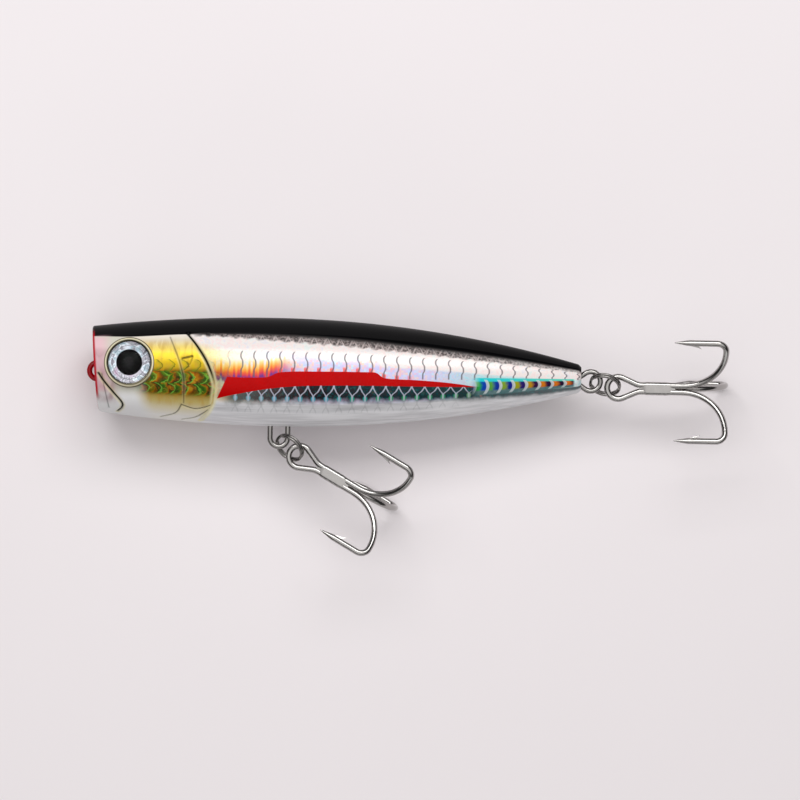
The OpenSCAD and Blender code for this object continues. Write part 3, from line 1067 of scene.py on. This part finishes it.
    def dark_reflection_band(self, paint):
        """The shadowy band under the stripe, a painted dark reflection in the foil, with painted glints in
        it.
        """
        x = self.x
        level = self.level
        top = x.curve(DARK_REFLECTION_TOP)
        bottom = x.curve(DARK_REFLECTION_BOTTOM) + (self.side_noise(0.6, 3) - 0.5) * 0.18
        dark = level.ease(bottom - 0.06, bottom + 0.1) * level.ease(top + 0.03, top)
        dark = dark * x.ease(22.8, 26)
        by_x = self.along([
            (0.28, (0.5, 0.52, 0.5)), (0.37, (0.3, 0.28, 0.28)), (0.45, (0.12, 0.1, 0.11)),
            (0.6, (0.08, 0.22, 0.24)), (0.78, (0.1, 0.3, 0.3)), (0.86, (0.35, 0.45, 0.46)),
            (1.0, (0.5, 0.55, 0.56))])
        # Glints painted into the dark band as highlights
        painted_glints = self.side_noise(1.3, 2, 0.8).ramp([
            (0.3, (0.05, 0.35, 0.38)), (0.42, (0.1, 0.09, 0.1)), (0.5, (0.28, 0.16, 0.2)),
            (0.56, (0.1, 0.12, 0.12)), (0.64, (0.1, 0.4, 0.42)), (0.72, (0.35, 0.3, 0.2))])
        return self.node_spots(self.mix(dark, paint, self.mix(0.45, by_x, painted_glints)))

    def node_spots(self, paint):
        """Bright spots, drawn out downwards, where the dark band's scale edges meet."""
        x = self.x
        place = (x - NODE_SHIFT - SCALE_PHASE) / SCALE_PITCH
        across = ((place + 0.5).fract() - 0.5) * SCALE_PITCH
        over = (self.level - NODE_LEVEL) * self.radius
        tall = over.at_least(over * -0.7)
        away = (across * across + tall * tall).sqrt()
        spot = (1 - away.ease(0.22, 0.55)) * x.band(26.5, 71, 1)
        stray = (self.cell_noise((place + 0.5).floor(), 3.0, 2.0) - 0.5) * 0.08
        shade = (x / BODY_LENGTH + stray).ramp([
            (0.3, (0.55, 0.75, 0.78)), (0.42, (0.4, 0.72, 0.85)), (0.53, (0.15, 0.68, 0.62)),
            (0.62, (0.1, 0.62, 0.35)), (0.72, (0.3, 0.68, 0.5)), (0.8, (0.9, 0.5, 0.5))])
        return self.mix(spot * 0.9, paint, shade)

    def tail_boxes(self, paint):
        """Bright boxes towards the tail, teal along their tops and grey below."""
        x = self.x
        level = self.level
        here = x.ease(69.5, 71.5) * (1 - x.ease(88.4, 88.9))
        rise = (level + 0.28) / 0.24
        bulge = 0.5 - rise * rise * 0.8
        share = ((x - bulge - SCALE_PHASE + 0.35) / SCALE_PITCH).fract()
        warm = self.along([
            (0.8, (0.15, 0.62, 0.25)), (0.87, (0.6, 0.6, 0.1)), (0.92, (0.8, 0.45, 0.08)),
            (1.0, (0.85, 0.4, 0.12))])
        cool = self.along([
            (0.8, (0.03, 0.25, 0.65)), (0.86, (0.06, 0.1, 0.5)), (0.9, (0.2, 0.06, 0.25)),
            (1.0, (0.12, 0.06, 0.14))])
        box = self.mix((share + (self.noise(1.5, 1) - 0.5) * 0.3).ease(0.3, 0.65), warm, cool)
        teal = self.mix(x.ease(70, 88), (0.1, 0.78, 0.8), (0.35, 0.8, 0.72))
        slate = self.mix(self.noise(1.2, 2), (0.2, 0.38, 0.38), (0.45, 0.55, 0.56))
        shade = self.mix(level.ease(-0.17, -0.12), box, teal)
        shade = self.mix(level.ease(-0.36, -0.42), shade, slate)
        rows = level.band(-0.5, -0.06, 0.04)
        self.boxes = here * rows
        paint = self.mix(self.boxes, paint, shade)
        gap = 1 - share.band(0.14, 0.84, 0.06)
        gap = gap * level.band(-0.46, -0.12, 0.05) * here
        return self.mix(gap * 0.75, paint, (0.8, 0.83, 0.84))

    def scale_edges(self, paint):
        """Fine curved lines round the scales: grey on the light foil, lavender on the dark band."""
        level = self.level
        flank = self.x.ease(24, 26.5)
        upper = self.forward_lines * level.band(-0.08, 0.36, 0.03) * (1 - self.boxes)
        paint = self.mix(upper * flank * 0.85, paint, (0.42, 0.4, 0.42))
        both = self.forward_lines.at_least(self.backward_lines)
        lower = both * level.band(-0.53, -0.14, 0.04) * (1 - self.x.ease(68.5, 70.5))
        paint = self.mix(lower * flank * 0.75, paint, (0.76, 0.77, 0.84))
        belly = both * level.band(-0.72, -0.57, 0.06) * (1 - self.x.ease(62, 72))
        return self.mix(belly * flank * 0.22, paint, (0.5, 0.51, 0.52))

    def head(self, paint):
        """Gold in front of the gill cover, with rows of green and orange scales below the eye line."""
        x = self.x
        level = self.level
        arc = (level - HEAD_ROW_LEVEL) / HEAD_ROW + 0.5
        row = arc.floor()
        rise = arc.fract() - 0.5
        bulge = (0.25 - rise * rise) * 4.6
        blotch = self.side_noise(0.8, 3, 1.0)
        place = (x - bulge + (blotch - 0.5) * 1.6) / SCALE_PITCH + row * 0.5
        share = place.fract()
        chance = self.cell_noise(place.floor(), row, 7.0)
        blotched = share + (blotch - 0.5) * 0.5
        green = blotched.ramp([
            (0.0, (0.25, 0.38, 0.05)), (0.2, (0.03, 0.3, 0.06)), (0.38, (0.25, 0.42, 0.05)),
            (0.52, (0.6, 0.38, 0.04)), (0.68, (0.42, 0.2, 0.03)), (0.84, (0.06, 0.16, 0.04))])
        orange = blotched.ramp([
            (0.0, (0.7, 0.5, 0.06)), (0.3, (0.56, 0.3, 0.03)), (0.55, (0.36, 0.24, 0.03)),
            (0.8, (0.05, 0.3, 0.07)), (1.0, (0.2, 0.36, 0.06))])
        scaly = self.mix(chance.ease(0.45, 0.6), green, orange)
        # Upwards the gold pales into cream, partly painted highlight like the band on the flank
        gold = (level * 0.5 + 0.5).ramp([
            (0.05, (0.93, 0.92, 0.9)), (0.12, (0.86, 0.82, 0.7)), (0.19, (0.75, 0.68, 0.42)),
            (0.27, (0.58, 0.47, 0.14)), (0.48, (0.68, 0.56, 0.07)), (0.57, (0.82, 0.7, 0.12)),
            (0.66, (0.93, 0.81, 0.22)), (0.73, (0.92, 0.83, 0.48)), (0.79, (0.86, 0.82, 0.72)),
            (0.86, CREAM_AND_HIGHLIGHT)])
        streak = self.noise(0.6, 3, 0.6, (1.6, 0.5, 0)).ease(0.42, 0.68)
        gold = self.mix(streak * level.band(-0.6, 0.5, 0.15) * 0.45, gold, (0.72, 0.55, 0.22))
        murk = self.side_noise(0.9).ease(0.5, 0.7)
        scaly = self.mix(murk * 0.6, scaly, (0.12, 0.13, 0.05))
        worn = blotch.ease(0.25, 0.5) * 0.55 + 0.4
        rows = level.band(-0.42, -0.05, 0.12) * worn
        gold = self.mix(rows, gold, scaly)
        tint = level.band(-0.1, 0.18, 0.04) * share.ease(0.55, 0.95)
        gold = self.mix(tint * 0.4, gold, (0.45, 0.55, 0.1))
        edge = share.band(0.93, 1.08, 0.04) + share.band(-0.08, 0.02, 0.04)
        outline = edge.at_most(1.0) * level.band(-0.45, 0.18, 0.06)
        line = self.mix(level.ease(-0.1, 0.0), (0.45, 0.7, 0.25), (0.3, 0.32, 0.1))
        gold = self.mix(outline * 0.6, gold, line)
        front = self.mix(level.ease(-0.62, -0.4), (0.9, 0.9, 0.9), (0.8, 0.79, 0.74))
        gold = self.mix((x + level * 3).ease(6.0, 9.5), front, gold)
        ahead = 1 - self.behind_gill.ease(0.0, 0.35)
        spill = self.behind_gill.ease(5.0, 0.0) * level.band(-0.45, 0.42, 0.15) * 0.55
        return self.mix(ahead.at_least(spill), paint, gold)

    def stripe(self, paint):
        """The red stripe, cut off on a slant at its front end."""
        top = self.x.curve(STRIPE_TOP, 4)
        bottom = self.x.curve(STRIPE_BOTTOM, 8)
        inside = (top - self.y).ease(0, 0.08) * (self.y - bottom).ease(0, 0.08)
        start = self.x - 23.0 - (self.y + 5.2) * 0.45
        red = self.mix(self.noise(0.5), (0.76, 0.01, 0.015), (0.68, 0.015, 0.02))
        return self.mix(inside * start.ease(0, 0.12), paint, red)

    def back(self, paint):
        """Black along the back; behind the head its lower edge breaks up into grey-brown scales."""
        x = self.x
        level = self.level
        edge = x.curve(BACK_EDGE)
        solid = x.curve(BLACK_EDGE)
        peak = (x - self.forward - SCALE_PHASE).math("PINGPONG", SCALE_PITCH / 2)
        ragged = (peak - 0.6) * 0.03 + (self.side_noise(1.4, 3) - 0.5) * 0.06
        behind = x.ease(17, 21)
        scaly = level.ease(edge - 0.025 + ragged, edge + 0.025 + ragged) * behind
        grain = self.noise(2.4, 3).ease(0.35, 0.68)
        brown = self.mix(grain, (0.18, 0.16, 0.16), (0.62, 0.57, 0.56))
        silvery = self.mix(grain, (0.4, 0.38, 0.38), (0.8, 0.78, 0.77))
        brown = self.mix(x.ease(62, 84), brown, silvery)
        lines = self.forward_lines.at_least(self.backward_lines)
        brown = self.mix(lines * 0.65 * x.ease(24, 34), brown, (0.76, 0.71, 0.7))
        brown = self.mix(level.ease(edge + 0.05, solid + 0.01), brown, BLACK)
        paint = self.mix(scaly * 0.92, paint, brown)
        soft = 0.008 + behind * 0.03
        return self.mix(level.ease(solid - soft, solid + soft), paint, BLACK)

    def nose(self, paint):
        """Pink between the lip and the eye, turning mauve lower down, and a thin crimson lip."""
        lean = math.radians(MOUTH_RAKE)
        behind = (self.x - MOUTH_X) * math.cos(lean) + self.y * math.sin(lean)
        pink = (1 - behind.ease(1.2, 4.0)) * self.level.band(-0.45, 0.66, 0.12)
        paint = self.mix(pink * 0.75, paint, PINK)
        streak = self.noise(0.5, 3, 0.8, (1, 0.4, 0.4)).ease(0.35, 0.65)
        mauve = (1 - behind.ease(2.6, 5.2)) * self.level.band(-0.62, 0.3, 0.22)
        paint = self.mix(mauve * (0.35 + streak * 0.4), paint, (0.6, 0.45, 0.47))
        edge = self.x.curve(BACK_EDGE)
        lip = (1 - behind.ease(0.25, 0.55)) * self.level.band(-0.55, edge, 0.2)
        return self.mix(lip * 0.95, paint, CRIMSON)

    def eye_bead(self, paint):
        """The cream bead round the eye, with a dark gold line along each of its edges; the outer line is
        painted shade in the crease where the bead meets the flank.
        """
        away = self.eye_polar("left")[0]
        paint = self.mix(1 - away.ease(4.55, 4.65), paint, (0.85, 0.82, 0.7))
        # The outer line is painted shade in the crease between the bead and the flank
        line = away.band(4.5, 4.6, 0.08) + away.band(4.0, 4.15, 0.08)
        return self.mix(line.at_most(1.0) * 0.85, paint, (0.25, 0.21, 0.08))


def nickel(name, shade, roughness):
    """Bright plated wire with clouding and a little unevenness."""
    paint = Painter(name, metallic=1.0)
    cloud = paint.noise(0.7, 3)
    paint.set("Base Color", paint.mix(cloud, shade, tuple(s * 0.9 for s in shade)))
    paint.set("Roughness", roughness + paint.noise(2.5, 3) * 0.06)
    paint.bump(paint.noise(6.0, 2) * 0.5 + cloud * 0.5, 0.02)
    return paint.material


def red_wire():
    paint = Painter("red_enamel", coat_weight=0.3, coat_roughness=0.05, specular_ior_level=0.15)
    paint.set("Base Color", paint.mix(paint.noise(0.8, 3), (0.66, 0.01, 0.06), (0.45, 0.0, 0.04)))
    paint.set("Roughness", 0.25 + paint.noise(3, 2) * 0.15)
    paint.bump(paint.noise(4.0, 2), 0.02)
    return paint.material


def eye_foil_colours(paint, away, turn):
    """Crinkled silver with fine rays and rainbow patches, as a colour and a relief. Its light and dark
    patches are painted reflections.
    """
    rays = (turn * 36).math("SINE") * 0.5 + 0.5
    patch = paint.side_noise(0.32, 3, 1.5)
    # Light and dark patches painted as reflections in the foil
    shine = patch.ramp([
        (0.3, (0.3, 0.29, 0.31)), (0.38, (0.66, 0.65, 0.67)), (0.45, (0.6, 0.7, 0.73)),
        (0.5, (0.9, 0.91, 0.92)), (0.56, (0.5, 0.49, 0.51)), (0.62, (0.75, 0.74, 0.76)),
        (0.7, (0.72, 0.6, 0.68))])
    shine = paint.mix(rays * 0.15, shine, (0.4, 0.4, 0.45))
    shine = paint.mix(away.band(3.02, 3.1, 0.08) * 0.5, shine, (0.3, 0.3, 0.32))
    return shine, patch + rays * 0.3


def eye_cup(side):
    """Black plastic with a silver printed edge."""
    paint = Painter(side + "_eye_cup", coat_weight=0.3, coat_roughness=0.1, specular_ior_level=0.2)
    away, turn = paint.eye_polar(side)
    # The silver edge carries the foil's painted reflections
    shine = eye_foil_colours(paint, away, turn)[0]
    edge = away.band(3.6, 3.78, 0.05)
    black = paint.mix(paint.noise(1.5, 2), (0.02, 0.02, 0.025), (0.06, 0.06, 0.06))
    paint.set("Base Color", paint.mix(edge, black, shine))
    paint.set("Roughness", 0.3 + paint.noise(3, 2) * 0.2)
    return paint.material


def iris(side):
    """Silver foil with a printed black pupil, whose centre is lifted to dark grey by a painted sheen."""
    paint = Painter(side + "_iris", specular_ior_level=0.1)
    away, turn = paint.eye_polar(side)
    shine, relief = eye_foil_colours(paint, away, turn)
    pupil = 1 - away.ease(2.32, 2.4)
    # A painted grey sheen at the pupil's centre
    painted_sheen = paint.mix(away.ease(0.3, 1.5), (0.14, 0.14, 0.14), (0.0, 0.0, 0.0))
    paint.set("Base Color", paint.mix(pupil, shine, painted_sheen))
    paint.set("Metallic", (1 - pupil) * 0.3)
    paint.set("Roughness", 0.3 + pupil * 0.5)
    paint.bump(relief, 0.04)
    return paint.material


def clear_dome():
    paint = Painter("clear_dome", transmission_weight=1.0, ior=1.1)
    paint.set("Base Color", paint.mix(paint.noise(0.5, 1), (1.0, 1.0, 1.0), (0.97, 0.98, 1.0)))
    paint.set("Roughness", paint.noise(0.4, 1) * 0.02)
    return paint.material


def dress(node, material):
    """Gives a CAD node its material."""
    mesh = frame["nodes"][node].data
    mesh.materials.clear()
    mesh.materials.append(material)


# ---- Stage, lights and camera ----

def add_stage():
    bpy.ops.mesh.primitive_grid_add(x_subdivisions=4, y_subdivisions=4, size=3.0)
    floor = bpy.context.object
    floor.name = "floor"
    paint = Painter("floor_paper")
    paint.set("Base Color", paint.mix(paint.noise(0.02, 3), (0.91, 0.888, 0.895), (0.9, 0.878, 0.885)))
    paint.set("Roughness", 0.85 + paint.noise(0.05, 2) * 0.1)
    floor.data.materials.append(paint.material)


def add_light(name, size, power, place_from):
    """A rectangular lamp aimed at the middle of the lure."""
    light = bpy.data.lights.new(name, "AREA")
    light.shape = "RECTANGLE"
    light.size, light.size_y = size
    light.energy = power
    lamp = bpy.data.objects.new(name, light)
    lamp.location = place_from
    lamp.rotation_mode = "QUATERNION"
    lamp.rotation_quaternion = (Vector((0, 0.01, 0.01)) - Vector(place_from)).to_track_quat("-Z", "Y")
    bpy.context.scene.collection.objects.link(lamp)


def add_lights():
    """A soft box behind the back, a weak fill on the belly side, and a room that is bright only overhead."""
    add_light("key_above_back", (0.7, 0.25), 2.5, (-0.05, 0.36, 0.5))
    add_light("belly_fill", (0.9, 0.15), 0.4, (0.0, -0.6, 0.2))
    world = bpy.data.worlds.new("studio")
    world.use_nodes = True
    room = Nodes(world.node_tree)
    direction = room.node("ShaderNodeTexCoord", output="Generated")
    height = room.split("ShaderNodeSeparateXYZ", direction)[2]
    inputs = {"Value": height, "From Min": 0.5, "From Max": 0.97, "To Min": 0.05, "To Max": 1.25}
    strength = room.node("ShaderNodeMapRange", inputs, interpolation_type="SMOOTHSTEP")
    background = room.tree.nodes["Background"]
    room.feed(background.inputs["Color"], (1.0, 0.985, 0.985, 1))
    room.feed(background.inputs["Strength"], strength)
    bpy.context.scene.world = world


def add_camera():
    """Looks straight down at the left flank, turned a little so that the tail hangs lower in the picture."""
    camera = bpy.data.cameras.new("camera")
    camera.lens = 366
    camera.sensor_width = 36
    camera.clip_start = 0.1
    camera.clip_end = 10
    holder = bpy.data.objects.new("camera", camera)
    holder.location = (-0.0016, 0.00695, ORIGIN.z + 1.5)
    holder.rotation_euler = (0, 0, math.radians(1.25))
    bpy.context.scene.collection.objects.link(holder)
    bpy.context.scene.camera = holder


add_camera()
add_lights()
add_stage()
bpy.context.scene.view_settings.view_transform = "Standard"

bright = nickel("nickel_wire", (0.58, 0.57, 0.56), 0.05)
plated = nickel("nickel_hook", (0.68, 0.67, 0.66), 0.04)
spring = nickel("nickel_ring", (0.55, 0.54, 0.53), 0.05)
steel = nickel("steel_ball", (0.6, 0.61, 0.63), 0.2)
add_body(FlankPaint().paint())
add_wire_eyes(red_wire(), bright)
belly_loop = joint_place("belly_ring_swing")
tail_loop = joint_place("tail_ring_swing")
add_split_ring("belly", belly_loop, BELLY_BEARING, spring)
add_split_ring("tail", tail_loop, TAIL_BEARING, spring)
add_treble("belly", belly_loop, BELLY_BEARING, BELLY_HOOK_BEARING, plated)
add_treble("tail", tail_loop, TAIL_BEARING, TAIL_HOOK_BEARING, plated)
dome = clear_dome()
for eye_side in ("left", "right"):
    dress(eye_side + "_eye_cup", eye_cup(eye_side))
    dress(eye_side + "_eye_foil", iris(eye_side))
    dress(eye_side + "_eye_lens", dome)
for ball in ("tail_ball_front", "tail_ball_rear", "rattle_ball"):
    dress(ball, steel)
